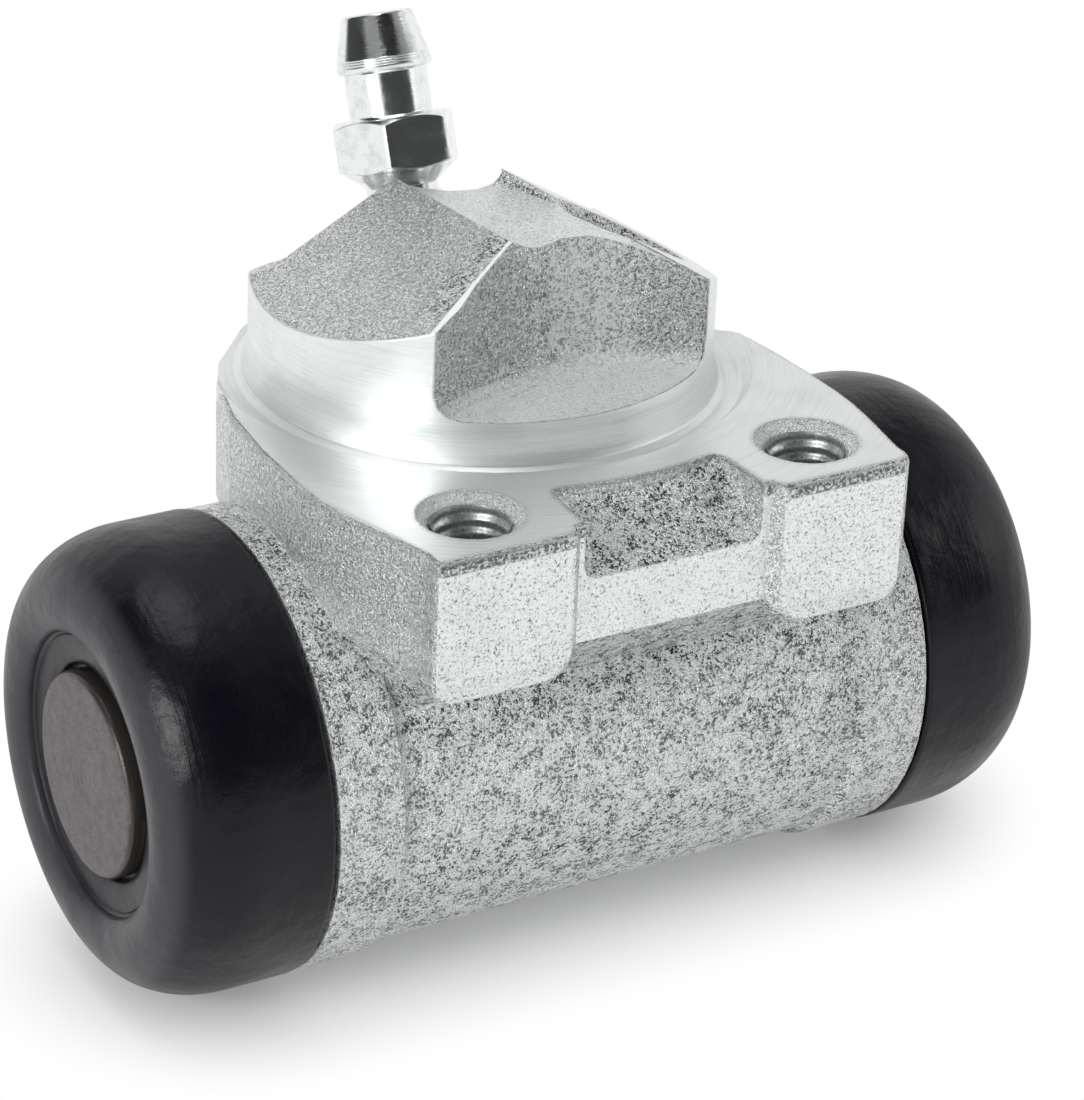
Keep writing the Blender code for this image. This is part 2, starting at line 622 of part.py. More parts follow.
def boot_profile():
    """A boot's section: beaded into the nose's groove behind, and into the stub's groove in front."""
    outer = BOOT_D / 2
    crest_x = PISTON_FACE_X + BOOT_STANDOUT
    crest_r = BOOT_CREST_D / 2
    rim_r = BOOT_RECESS_D / 2
    floor_x = PISTON_FACE_X - STUB_PROUD
    stub_r = STUB_D / 2 + CLEARANCE
    bead_r = STUB_GROOVE_D / 2 + CLEARANCE
    bead_x = floor_x - 2 * CLEARANCE
    bead_end = bead_x - STUB_GROOVE_WIDTH + 2 * CLEARANCE
    back_x = SHOULDER_X + CLEARANCE
    nose_r = NOSE_D / 2 + CLEARANCE
    groove_r = BOOT_GROOVE_D / 2 + CLEARANCE
    groove_x = SHOULDER_X + BOOT_GROOVE_SETBACK + CLEARANCE
    groove_end = groove_x + BOOT_GROOVE_WIDTH - 2 * CLEARANCE
    inner = outer - BOOT_WALL
    hollow_x = NOSE_X + CLEARANCE
    top_x = crest_x - BOOT_WALL
    dish = (crest_x - BOOT_RECESS_DISH, rim_r)
    section = [(rim_r - 1.7 * MM, floor_x + 0.1 * MM), (rim_r - 0.2 * MM, dish[0] - 0.25 * MM), (rim_r, dish[0])]
    section += arc((crest_r, dish[0]), (crest_r - rim_r, BOOT_RECESS_DISH), 150, 90, 2)
    section += arc((crest_r, crest_x - BOOT_SHOULDER_LENGTH), (outer - crest_r, BOOT_SHOULDER_LENGTH), 72, 0, 4)
    section += [(outer, back_x + 0.3 * MM), (outer - 0.3 * MM, back_x), (nose_r, back_x)]
    section += [(nose_r, groove_x), (groove_r, groove_x), (groove_r, groove_end), (nose_r, groove_end)]
    section += [(nose_r, hollow_x), (inner, hollow_x + 0.4 * MM)]
    section += arc((crest_r, crest_x - BOOT_SHOULDER_LENGTH), (inner - crest_r, BOOT_SHOULDER_LENGTH - BOOT_WALL),
                   30, 90, 2)
    section += [(rim_r + 1.2 * MM, top_x - BOOT_RECESS_DISH), (rim_r - 0.4 * MM, bead_end), (bead_r, bead_end)]
    section += [(bead_r, bead_x), (stub_r, bead_x), (stub_r, floor_x - 0.3 * MM), (stub_r + 0.6 * MM, floor_x - 0.3 * MM)]
    return section


def build_side(side, frame, parts, finishes, housing_empty):
    """One end of the cylinder: its piston, cup seal, cup expander and boot."""
    carrier = bpy.data.objects.new(side + "_piston_axis", None)
    place(carrier, parts, frame)
    turned(side + "_piston", piston_profile(), parts, frame, SOFT_STEPS, parent=carrier)
    turned(side + "_cup_seal", cup_profile(), parts, frame, SOFT_STEPS, parent=carrier)
    turned(side + "_cup_expander", expander_profile(), parts, frame, SMALL_STEPS, parent=carrier)
    turned(side + "_boot", boot_profile(), parts, frame, SOFT_STEPS, closed=True, parent=housing_empty)
    for piece in ("piston", "cup_seal", "cup_expander", "boot"):
        parts.objects[side + "_" + piece].data.materials.append(finishes[piece])


def build_spring(parts, material, parent):
    """The return spring: a helix along the bore whose last turns lie close at each end."""
    length = SPRING_LENGTH - SPRING_WIRE_D
    radius = (SPRING_COIL_D - SPRING_WIRE_D) / 2
    count = int(SPRING_TURNS * COIL_STEPS)
    open_turns = SPRING_TURNS - 2 * SPRING_CLOSED_TURNS
    closed_rise = SPRING_CLOSED_TURNS * SPRING_WIRE_D * 1.15
    curve = bpy.data.curves.new("return_spring", "CURVE")
    curve.dimensions = "3D"
    curve.bevel_depth = SPRING_WIRE_D / 2
    curve.bevel_resolution = 2
    curve.use_fill_caps = True
    spline = curve.splines.new("POLY")
    spline.points.add(count)
    for i in range(count + 1):
        turn = SPRING_TURNS * i / count
        from_end = min(turn, SPRING_TURNS - turn)
        if from_end <= SPRING_CLOSED_TURNS:
            rise = closed_rise * from_end / SPRING_CLOSED_TURNS
            height = rise if turn < SPRING_TURNS / 2 else length - rise
        else:
            height = closed_rise + (length - 2 * closed_rise) * (turn - SPRING_CLOSED_TURNS) / open_turns
        angle = 2 * pi * turn
        spline.points[i].co = (radius * cos(angle), radius * sin(angle), height - length / 2, 1)
    spring = new_object("return_spring", curve, parts, RIGHT, parent)
    curve.materials.append(material)
    return spring


def build_bleed_screw(parts, cutters, material, parent):
    """The bleed screw: hose barb, hexagon, shank with a conical tip, and a drilled passage."""
    hex_r = BLEEDER_HEX / 2 / cos(pi / 6)
    hex_bottom = BLEEDER_SKIRT_HEIGHT
    hex_top = hex_bottom + BLEEDER_HEX_HEIGHT
    neck_top = hex_top + BLEEDER_NECK_HEIGHT
    band_top = neck_top + BLEEDER_BARB_BAND
    top = band_top + BLEEDER_BARB_HEIGHT
    bore = BLEEDER_BORE_D / 2
    shank = BLEEDER_SHANK_D / 2
    undercut = BLEEDER_UNDERCUT_D / 2
    tip = BLEEDER_TIP_D / 2
    tip_start = -BLEEDER_SHANK_LENGTH
    tip_end = tip_start - (shank - tip)
    passage_end = tip_start * 0.8
    round_off = (hex_r - BLEEDER_HEX / 2) * 0.55
    profile = [
        (0, passage_end),
        (bore, passage_end + bore),
        (bore, top - 0.3 * MM),
        (bore + 0.3 * MM, top),
        (BLEEDER_BARB_TOP_D / 2, top),
        (BLEEDER_BARB_D / 2, band_top),
        (BLEEDER_BARB_D / 2, neck_top + 0.15 * MM),
        (BLEEDER_BARB_D / 2 - 0.15 * MM, neck_top),
        (BLEEDER_NECK_D / 2, neck_top),
        (BLEEDER_NECK_D / 2, hex_top),
        (BLEEDER_HEX / 2 - 0.1 * MM, hex_top),
        (hex_r + 0.02 * MM, hex_top - round_off),
        (hex_r + 0.02 * MM, hex_bottom + round_off),
        (BLEEDER_HEX / 2 - 0.1 * MM, hex_bottom),
        (undercut, 0),
        (undercut, -BLEEDER_UNDERCUT),
        (shank, -BLEEDER_UNDERCUT),
        (shank, tip_start),
        (tip, tip_end),
        (0, tip_end),
    ]
    screw = turned("bleed_screw", profile, parts, BLEEDER, SMALL_STEPS, parent=parent)
    corners = [(hex_r * cos(pi / 3 * i), hex_r * sin(pi / 3 * i)) for i in range(6)]
    turn = Matrix.Rotation(radians(BLEEDER_TURN_DEG), 4, "Z")
    hexagon = prism("hexagon_limits", corners, hex_bottom - 0.5 * MM, hex_top + 0.5 * MM, cutters, BLEEDER @ turn)
    ring = [(2 * hex_r, hex_top), (2 * hex_r, hex_bottom), (undercut, hex_bottom), (undercut, hex_top)]
    sleeve = turned("hexagon_cut", ring, cutters, BLEEDER, SMALL_STEPS, closed=True)
    boolean(sleeve, hexagon, "DIFFERENCE")
    boolean(screw, sleeve, "DIFFERENCE")
    screw.data.materials.append(material)
    return screw


def main():
    for obj in list(bpy.data.objects):
        bpy.data.objects.remove(obj, do_unlink=True)
    parts = bpy.data.collections.new("wheel_cylinder")
    cutters = bpy.data.collections.new("cutters")
    for collection in (parts, cutters):
        bpy.context.scene.collection.children.link(collection)

    finishes = {
        "housing": finish("zinc_plated_iron", (0.62, 0.65, 0.63), 0.45, 0.85),
        "piston": finish("dark_piston_steel", (0.11, 0.095, 0.085), 0.5, 0.6),
        "cup_seal": finish("seal_rubber", (0.03, 0.03, 0.03), 0.6, 0.0),
        "cup_expander": finish("expander_steel", (0.55, 0.5, 0.35), 0.35, 0.9),
        "boot": finish("boot_rubber", (0.012, 0.012, 0.015), 0.5, 0.0),
        "spring": finish("spring_steel", (0.35, 0.35, 0.36), 0.3, 1.0),
        "bleed_screw": finish("bright_zinc_steel", (0.75, 0.77, 0.78), 0.2, 1.0),
    }
    cylinder = bpy.data.objects.new("wheel_cylinder_frame", None)
    place(cylinder, parts)
    build_housing(parts, cutters, finishes["housing"], cylinder)
    build_spring(parts, finishes["spring"], cylinder)
    build_side("left", LEFT, parts, finishes, cylinder)
    build_side("right", RIGHT, parts, finishes, cylinder)
    build_bleed_screw(parts, cutters, finishes["bleed_screw"], cylinder)
    for cutter in cutters.objects:
        cutter.hide_render = True
        cutter.display_type = "WIRE"


main()
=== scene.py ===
from math import ceil, cos, pi, radians, sin

import bmesh
import bpy
from mathutils import Matrix, Vector


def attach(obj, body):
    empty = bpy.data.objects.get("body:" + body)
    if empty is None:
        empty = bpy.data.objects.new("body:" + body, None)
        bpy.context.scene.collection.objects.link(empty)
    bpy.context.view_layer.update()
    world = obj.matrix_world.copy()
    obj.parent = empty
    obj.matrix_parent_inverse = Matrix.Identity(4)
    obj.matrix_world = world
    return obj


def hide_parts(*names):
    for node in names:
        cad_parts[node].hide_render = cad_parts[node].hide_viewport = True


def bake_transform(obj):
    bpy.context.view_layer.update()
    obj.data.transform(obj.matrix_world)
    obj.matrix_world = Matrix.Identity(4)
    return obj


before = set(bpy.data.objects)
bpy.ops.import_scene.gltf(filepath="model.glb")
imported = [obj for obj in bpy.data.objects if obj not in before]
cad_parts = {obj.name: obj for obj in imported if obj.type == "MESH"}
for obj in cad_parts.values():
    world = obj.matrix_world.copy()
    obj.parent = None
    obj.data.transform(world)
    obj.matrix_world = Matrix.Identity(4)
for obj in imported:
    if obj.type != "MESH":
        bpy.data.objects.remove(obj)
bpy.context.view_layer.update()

# Camera. The object is seen from its left end and from a little above, as on a catalogue page, through a
# long lens that stands about 300 mm away. It is moved sideways so that the picture keeps its plain margins.
camera_right = Vector((0.86579288, -0.49900446, 0.03737956))
camera_up = Vector((0.1966008, 0.40789919, 0.89160887))
camera_back = Vector((-0.4601639, -0.76459976, 0.4512609))
camera_distance = 0.300996
camera_shift_right = 0.004392
camera_shift_up = -0.013976
focal_pixels = 4238.11
image_width = 1084

camera_data = bpy.data.cameras.new("camera")
camera_data.sensor_fit = "HORIZONTAL"
camera_data.sensor_width = 36.0
camera_data.lens = focal_pixels / image_width * camera_data.sensor_width
camera_data.clip_start = 0.01
camera_data.clip_end = 10.0
camera = bpy.data.objects.new("camera", camera_data)
camera_place = camera_back * camera_distance
camera_place += camera_right * camera_shift_right + camera_up * camera_shift_up
camera_turn = Matrix((camera_right, camera_up, camera_back)).transposed().to_4x4()
camera.matrix_world = Matrix.Translation(camera_place) @ camera_turn
bpy.context.scene.collection.objects.link(camera)
bpy.context.scene.camera = camera
bpy.context.scene.view_settings.view_transform = "Standard"


# Housing. One iron casting, sand-rough outside, zinc plated all over. The pilot spigot, the mounting face
# round it and the sloping face with the pipe port are machined, and show the tool's fine marks.
class Wire:
    """An output socket of a material's nodes. Arithmetic on it adds Math nodes."""

    def __init__(self, tree, socket=None):
        self.tree = tree
        self.socket = socket

    def node(self, kind, settings=None, sockets=None, output=0):
        made = self.tree.nodes.new("ShaderNode" + kind)
        for key, value in (settings or {}).items():
            setattr(made, key, value)
        for key, value in (sockets or {}).items():
            if isinstance(value, Wire):
                self.tree.links.new(value.socket, made.inputs[key])
            else:
                made.inputs[key].default_value = value
        return Wire(self.tree, made.outputs[output])

    def math(self, operation, *values):
        return self.node("Math", {"operation": operation}, dict(enumerate(values)))

    def __add__(self, other):
        return self.math("ADD", self, other)

    def __radd__(self, other):
        return self.math("ADD", other, self)

    def __sub__(self, other):
        return self.math("SUBTRACT", self, other)

    def __rsub__(self, other):
        return self.math("SUBTRACT", other, self)

    def __mul__(self, other):
        return self.math("MULTIPLY", self, other)

    def __rmul__(self, other):
        return self.math("MULTIPLY", other, self)

    def __pow__(self, other):
        return self.math("POWER", self, other)

    def most(self, other):
        """The larger of this value and another."""
        return self.math("MAXIMUM", self, other)

    def size(self):
        """This value without its sign."""
        return self.math("ABSOLUTE", self)

    def step(self, low, high, start=0.0, end=1.0):
        """Rises smoothly from start to end as this value goes from low to high."""
        settings = {"interpolation_type": "SMOOTHSTEP"}
        sockets = {"Value": self, "From Min": low, "From Max": high, "To Min": start, "To Max": end}
        return self.node("MapRange", settings, sockets)

    def within(self, middle, reach, soft):
        """1 where this value lies within reach of middle, falling to 0 over the soft distance."""
        return (self - middle).size().step(reach, reach + soft, 1.0, 0.0)

    def noise(self, scale, detail=2.0, roughness=0.5):
        sockets = {"Vector": self, "Scale": scale, "Detail": detail, "Roughness": roughness}
        return self.node("TexNoise", None, sockets)

    def split(self):
        return [self.node("SeparateXYZ", None, {0: self}, axis) for axis in range(3)]

    def join(self, x, y, z):
        return self.node("CombineXYZ", None, {0: x, 1: y, 2: z})

    def blend(self, low, high):
        """A colour between two others, by this value."""
        settings = {"data_type": "RGBA"}
        return self.node("Mix", settings, {"Factor": self, 6: low, 7: high}, 2)


def new_material(name):
    """A material, and the wire that its pattern starts from: the object's coordinates in millimetres."""
    made = bpy.data.materials.new(name)
    made.use_nodes = True
    metres = Wire(made.node_tree).node("TexCoord", None, None, 3)
    return made, metres.node("VectorMath", {"operation": "SCALE"}, {0: metres, "Scale": 1000.0})


def plug(made, **sockets):
    """Sets the sockets of the material's Principled shader."""
    shader = made.node_tree.nodes["Principled BSDF"]
    for key, value in sockets.items():
        slot = shader.inputs[key.replace("_", " ")]
        if isinstance(value, Wire):
            made.node_tree.links.new(value.socket, slot)
        else:
            slot.default_value = value


# Tones of the plate, light and dark, and the near white that painted highlights are blended toward.
zinc_light = (0.86, 0.885, 0.88, 1)
zinc_dark = (0.035, 0.04, 0.045, 1)
highlight_white_zinc = (0.97, 0.98, 0.985, 1)
bore_y = -0.0081
bore_z = -0.0216

# The places of the casting's faces, in millimetres. A pair says where a kind of face begins and where it is
# complete. A slope has its height on the spigot's axis, its lean and its heading.
spigot_radius = 16.5
relief_depth = 1.1
relief_outer = 19.5
left_slope_shape = (12.7, radians(22.7), radians(176.0))
right_slope_shape = (14.1, radians(29.9), radians(6.1))
ridge_x, ridge_y = -10.7, -12.5
ridge_run_x, ridge_run_y = 0.8786, 0.4773
saddle_foot = (8.6, 9.2)
saddle_front = (-8.3, -7.7)
notch_foot = (2.0, 2.1)
notch_back = (-7.0, -6.4)
notch_left = (-2.0, 1.6)
notch_right = (5.2, 9.4)
pad_foot = (-9.6, -8.8)
pad_edge = (19.9, 20.3)
ear_fronts = (-26.3, -25.9)
collar_start = (16.8, 19.2)
collar_top = (-6.8, -5.6)
# Where a painted highlight band runs along the barrel: its middle height, reach and softening.
barrel_painted_highlight = (-20.0, 3.0, 3.0)
screw_holes = ((-13.15, -22.2), (13.15, -22.2))
screw_chamfer_radius = 3.7
screw_hole_foot = (-11.0, -10.9)
edge_radius = 0.00020
worn_band = 0.0008
sharp_degrees = 24.0
weld_distance = 2e-6
round_tolerance = 0.00006

casting, place = new_material("zinc_plated_casting")
facing = place.node("NewGeometry", None, None, 1)
x, y, z = place.split()
facing_x, facing_y, facing_z = facing.split()
radius = (x * x + y * y) ** 0.5
angle = y.math("ARCTAN2", y, x)
coarse = place.noise(4.0, 3.0, 0.7)
fine = place.noise(8.5, 2.0, 0.6)
broad = place.noise(0.22, 2.0, 0.5)
wander = place.noise(0.9, 3.0, 0.6) - 0.5
grain = coarse * 0.6 + fine * 0.4


def above_slope(top, lean, heading):
    """Height square to one of the spigot's two slopes, which falls away along its heading."""
    outward = x * cos(heading) + y * sin(heading)
    return (z - top) * cos(lean) + outward * sin(lean)


def in_screw_hole(hole_x, hole_y):
    """1 inside a screw hole and its chamfer."""
    away = ((x - hole_x) * (x - hole_x) + (y - hole_y) * (y - hole_y)) ** 0.5
    inside = away.step(screw_chamfer_radius, screw_chamfer_radius + 0.05, 1.0, 0.0)
    return inside * z.step(*screw_hole_foot)


in_relief = z.within(-relief_depth / 2, relief_depth / 2 + 0.06, 0.03)
in_relief = in_relief * radius.step(relief_outer, relief_outer + 0.1, 1.0, 0.0)
on_wall = radius.within(spigot_radius + 0.5, 0.58, 0.04) * z.step(-0.08, -0.02)
on_face = z.within(0.0, 0.04, 0.04) * facing_z.step(0.8, 0.95)
on_left_slope = above_slope(*left_slope_shape).within(0.0, 0.05, 0.05)
on_right_slope = above_slope(*right_slope_shape).within(0.0, 0.05, 0.05)
machined = in_relief.most(on_wall).most(on_face).most(on_right_slope)
cast = 1 - machined
chamfers = in_screw_hole(*screw_holes[0]).most(in_screw_hole(*screw_holes[1]))

# The rough faces differ: pale and almost smooth on the fronts of the ears and in the saddle, fine and grey on
# the left slope and the pad's sides, and coarse with deep pits elsewhere. The barrel's ends are chalkier.
on_front = facing_y.step(-0.97, -0.80, 1.0, 0.0) * y.step(*ear_fronts, 1.0, 0.0)
off_slopes = (1 - on_left_slope) * (1 - on_right_slope)
in_saddle = z.step(*saddle_foot) * facing_z.step(0.80, 0.93) * off_slopes * y.step(*saddle_front)
in_notch = radius.step(spigot_radius - 0.25, spigot_radius - 0.15, 1.0, 0.0) * z.step(*notch_foot)
in_notch = in_notch * (1 - in_saddle) * off_slopes * y.step(*notch_back, 1.0, 0.0)
upright = facing_z.within(0.0, 0.35, 0.25) * z.step(*pad_foot)
on_side = upright * (facing_x.step(0.35, 0.6, 1.0, 0.0) * (1 - in_notch)).most(facing_x.step(0.4, 0.7))
on_collar = (x.size() + wander * 3.0).step(*collar_start) * z.step(*collar_top, 1.0, 0.0)

# The left slope ends in a ridge over the notch, rubbed smooth, with a painted highlight line along it
# and a patch of deep pits beside it.
ridge_line = (x - ridge_x) * -ridge_run_y + (y - ridge_y) * ridge_run_x
ridge_away = ridge_line + (broad - 0.5) * 5.0 + wander * 5.0
ridge_along = (x - ridge_x) * ridge_run_x + (y - ridge_y) * ridge_run_y
on_ridge = on_left_slope * ridge_away.step(1.4, 3.6, 1.0, 0.0) * (ridge_along + wander * 6.0).step(0.0, 3.0)
polished_ridge_highlight = on_left_slope * ridge_line.step(0.34, 0.48, 1.0, 0.0) * ridge_along.step(-1.0, 0.0)
level = facing_z.step(0.5, 0.8)
on_ledge = in_notch * level
strayed = x + wander * 7.0
# Painted light: the notch's middle is painted lighter, with fewer dark pits and white sparkling points.
notch_middle = strayed.step(*notch_left) * strayed.step(*notch_right, 1.0, 0.0) * in_notch * (1 - level)

# Dark pits of the plated skin, and bright points that are painted highlights, each kind of face with its
# own share.
pale = on_front.most(in_saddle)
even = (on_left_slope * (1 - on_ridge)).most(on_side)
mixed = fine * 0.5 + coarse * 0.5
pitted = (grain + wander * 0.30).step(0.40, 0.55, 1.0, 0.0)
coarse_dark = pitted * 0.62 + pitted.step(0.50, 0.85) * 0.36
# Painted glint points: bright specks painted near white on the rough faces, and made less metallic.
painted_glints = mixed.step(0.535, 0.59) * cast * (1 - pale) * (1 - even * 0.6)
fine_dark = mixed.step(0.38, 0.58, 1.0, 0.0)
specks = (grain + wander * 0.15).step(0.36, 0.46, 1.0, 0.0)
# Painted light: a band along the barrel at its middle height is painted lighter, with fewer dark pits.
in_painted_highlight = z.within(*barrel_painted_highlight)
darkness = coarse_dark * (1 - on_collar * 0.08 - notch_middle * 0.34 - in_painted_highlight * 0.14)
darkness = darkness + even * (fine_dark * 0.72 - darkness)
darkness = darkness + (in_notch - notch_middle) * (fine_dark * 0.78 - darkness)
# The notch's ledge keeps only light specks, smoother than its walls, and its lighter tone is painted light
# falling from above.
darkness = darkness + on_ledge * (specks * 0.50 + fine_dark * 0.10 - darkness)
darkness = darkness + pale * (specks * 0.56 + fine_dark * 0.26 - darkness)
darkness = darkness + chamfers * (specks * 0.50 + fine_dark * 0.12 - darkness)

# The cutting tool's marks run round the spigot, and straight across the port's face.
turning = place.join(radius * 11.0, angle * 3.0, z * 11.0).noise(1.0, 3.0, 0.65)
milling = place.join(x * 0.5, y * 9.0, z * 0.5).noise(1.0, 3.0, 0.6)
cutting = turning + (milling - turning) * on_right_slope
darkness = darkness * cast * (1 - polished_ridge_highlight) + machined * cutting.step(0.42, 0.80) * 0.18
darkness = darkness + broad.step(0.45, 0.75) * 0.06

# Edges: a painted highlight, a bright line along each, and on the pad's and ears' upper edges a rough,
# darker band of wear.
rounded = place.node("Bevel", {"samples": 4}, {"Radius": edge_radius})
near = place.node("Bevel", {"samples": 3}, {"Radius": worn_band})
sharp = 1 - place.node("VectorMath", {"operation": "DOT_PRODUCT"}, {0: rounded, 1: facing}, 1)
band = 1 - place.node("VectorMath", {"operation": "DOT_PRODUCT"}, {0: near, 1: facing}, 1)
# A painted highlight line along every edge, found from the rounded normals.
painted_edge_highlight = sharp.step(0.02, 0.16)
streak = on_front * z.within(-0.62, 0.30, 0.25) * coarse.step(0.40, 0.52)
rim = band.step(0.01, 0.09) * z.within(-0.2, 0.6, 0.3) * radius.step(*pad_edge) * cast.most(on_face)
rim = rim * coarse.step(0.36, 0.50) * (1 - on_front)
worn = streak.most(rim)
darkness = darkness + (worn * 0.85 - darkness) * worn
zinc = darkness.blend(zinc_light, zinc_dark)
# Painted sparkling points: white points painted over the notch's middle.
painted_sparkle = notch_middle * mixed.step(0.48, 0.53)
# Painted highlights: edge lines, the ridge line, glint and sparkling points are blended toward near white.
painted_shine = (painted_edge_highlight * 0.75 * (1 - worn)).most(polished_ridge_highlight).most(painted_glints * 0.9).most(painted_sparkle * 0.95)
zinc = painted_shine.blend(zinc, highlight_white_zinc)
depth = cast * (1 - polished_ridge_highlight) * (0.44 - even * 0.18 - pale * 0.30 + notch_middle * 0.20)
height = grain * depth + cutting * machined * 0.008
relief = place.node("Bump", None, {"Height": height, "Distance": 0.001, "Strength": 1.0, "Normal": rounded})
# Less metal where the plate looks chalkier, and where painted highlights and glint points are, so they stay white
# under any light.
chalk_and_highlight_dulling = on_ledge * 0.80 + in_saddle * 0.40 + notch_middle * 0.80 + chamfers * 0.35 + on_collar * 0.35
chalk_and_highlight_dulling = chalk_and_highlight_dulling.most(polished_ridge_highlight * 0.60).most(painted_edge_highlight * 0.35).most(painted_glints * 0.50)
polish = 0.40 - cast * 0.14 + darkness * 0.14
plug(casting, Base_Color=zinc, Metallic=0.90 - chalk_and_highlight_dulling, Roughness=polish, Normal=relief)

shape = bmesh.new()
shape.from_mesh(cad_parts["housing"].data)
bmesh.ops.remove_doubles(shape, verts=shape.verts, dist=weld_distance)
bmesh.ops.dissolve_degenerate(shape, edges=shape.edges, dist=weld_distance)
shape.verts.index_update()
casting_points = [vertex.co.copy() for vertex in shape.verts]
casting_faces = [[vertex.index for vertex in face.verts] for face in shape.faces]
shape.free()
casting_mesh = bpy.data.meshes.new("housing_casting")
casting_mesh.from_pydata(casting_points, [], casting_faces)
for polygon in casting_mesh.polygons:
    polygon.use_smooth = True
casting_mesh.set_sharp_from_angle(angle=radians(sharp_degrees))
housing = bpy.data.objects.new("housing_casting", casting_mesh)
bpy.context.scene.collection.objects.link(housing)

# The flats take their facing from their own area, and the turned and cast rounds from their axes.
evened = housing.modifiers.new("evened", "WEIGHTED_NORMAL")
evened.mode = "FACE_AREA_WITH_ANGLE"
evened.keep_sharp = True
evaluated = housing.evaluated_get(bpy.context.evaluated_depsgraph_get())
corner_facing = [corner.vector.copy() for corner in evaluated.to_mesh().corner_normals]
evaluated.to_mesh_clear()
housing.modifiers.remove(evened)
round_axes = ((Vector((0, 0, 0)), Vector((0, 0, 1))), (Vector((0, bore_y, bore_z)), Vector((1, 0, 0))))
for polygon in casting_mesh.polygons:
    for middle, axis in round_axes:
        arms = [casting_mesh.vertices[i].co - middle for i in polygon.vertices]
        arms = [arm - axis * arm.dot(axis) for arm in arms]
        reach = [arm.length for arm in arms]
        outward = polygon.center - middle
        outward -= axis * outward.dot(axis)
        square = polygon.normal.dot(outward.normalized())
        if max(reach) - min(reach) < round_tolerance and abs(square) > 0.98:
            side = 1 if square > 0 else -1
            for loop, arm in zip(polygon.loop_indices, arms):
                corner_facing[loop] = arm.normalized() * side
casting_mesh.normals_split_custom_set(corner_facing)
casting_mesh.materials.append(casting)
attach(housing, "housing")
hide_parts("housing")

# Threads. M6 in the two ears and M10 x 1 in the pipe port, cut after the casting was drilled. Each is a fine
# ridge that winds down the wall of its hole, bright where the tap left it.
thread_turn_steps = 48
thread_pitch_steps = 8
ear_thread_shape = (-0.6, -7.6, 1.0, 2.71, 2.46)
port_thread_shape = (-0.9, -9.9, 1.0, 4.49, 4.10)
port_axis = Vector((0.4957, 0.0530, 0.8669))
port_mouth = (0.0106, -0.0010, 0.0081)


def skin(name, rings, smooth_degrees=35.0, closed_ends=True):
    """An object whose mesh runs over rings of equally many points, with flat caps if it is closed."""
    count = len(rings[0])
    points = [point for ring in rings for point in ring]
    faces = []
    for row in range(len(rings) - 1):
        for i in range(count):
            j = (i + 1) % count
            faces.append((row * count + i, row * count + j, (row + 1) * count + j, (row + 1) * count + i))
    if closed_ends:
        faces.append(tuple(reversed(range(count))))
        faces.append(tuple(range((len(rings) - 1) * count, len(rings) * count)))
    mesh = bpy.data.meshes.new(name)
    mesh.from_pydata(points, [], faces)
    shape = bmesh.new()
    shape.from_mesh(mesh)
    bmesh.ops.recalc_face_normals(shape, faces=shape.faces)
    shape.to_mesh(mesh)
    shape.free()
    for polygon in mesh.polygons:
        polygon.use_smooth = True
    mesh.set_sharp_from_angle(angle=radians(smooth_degrees))
    made = bpy.data.objects.new(name, mesh)
    bpy.context.scene.collection.objects.link(made)
    return made


def ring(frame_matrix, radius_mm, height_mm, steps):
    """Points of a circle about a frame's Z, where radius and height may change with the angle."""
    points = []
    for i in range(steps):
        turn = 2 * pi * i / steps
        r = radius_mm(turn) if callable(radius_mm) else radius_mm
        h = height_mm(turn) if callable(height_mm) else height_mm
        points.append(frame_matrix @ Vector((r * cos(turn) * 0.001, r * sin(turn) * 0.001, h * 0.001)))
    return points


def thread_rings(frame_matrix, top, bottom, pitch, root_radius, crest_radius, steps):
    """Rings of a thread's surface, from top down."""
    rings = []
    rows = int((top - bottom) / pitch * thread_pitch_steps)
    for row in range(rows + 1):
        height = top - (top - bottom) * row / rows
        fade = min(1.0, (top - height) / pitch, (height - bottom) / pitch)

        def reach(turn):
            phase = (height / pitch + turn / (2 * pi)) % 1.0
            tooth = max(0.0, 1.0 - abs(phase - 0.5) / 0.42)
            return root_radius + (crest_radius - root_radius) * min(tooth * 1.3, 1.0) * fade

        rings.append(ring(frame_matrix, reach, height, steps))
    return rings


tapped, place = new_material("tapped_thread")
swirl = place.noise(5.0, 2.0, 0.5)
relief = place.node("Bump", None, {"Height": swirl, "Distance": 0.00002, "Strength": 0.6})
silver = swirl.step(0.3, 0.7).blend((0.40, 0.43, 0.42, 1), (0.74, 0.77, 0.76, 1))
plug(tapped, Base_Color=silver, Metallic=0.9, Roughness=0.40, Normal=relief)
port_frame = Matrix.Translation(port_mouth) @ port_axis.to_track_quat("Z", "Y").to_matrix().to_4x4()
threads = []
for name, (hole_x, hole_y) in zip(("left_ear_thread", "right_ear_thread"), screw_holes):
    hole_frame = Matrix.Translation((hole_x * 0.001, hole_y * 0.001, 0))
    rings = thread_rings(hole_frame, *ear_thread_shape, thread_turn_steps)
    threads.append(skin(name, rings, 40.0, False))
rings = thread_rings(port_frame, *port_thread_shape, thread_turn_steps)
threads.append(skin("port_thread", rings, 40.0, False))
for thread in threads:
    thread.data.materials.append(tapped)
    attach(thread, "housing")

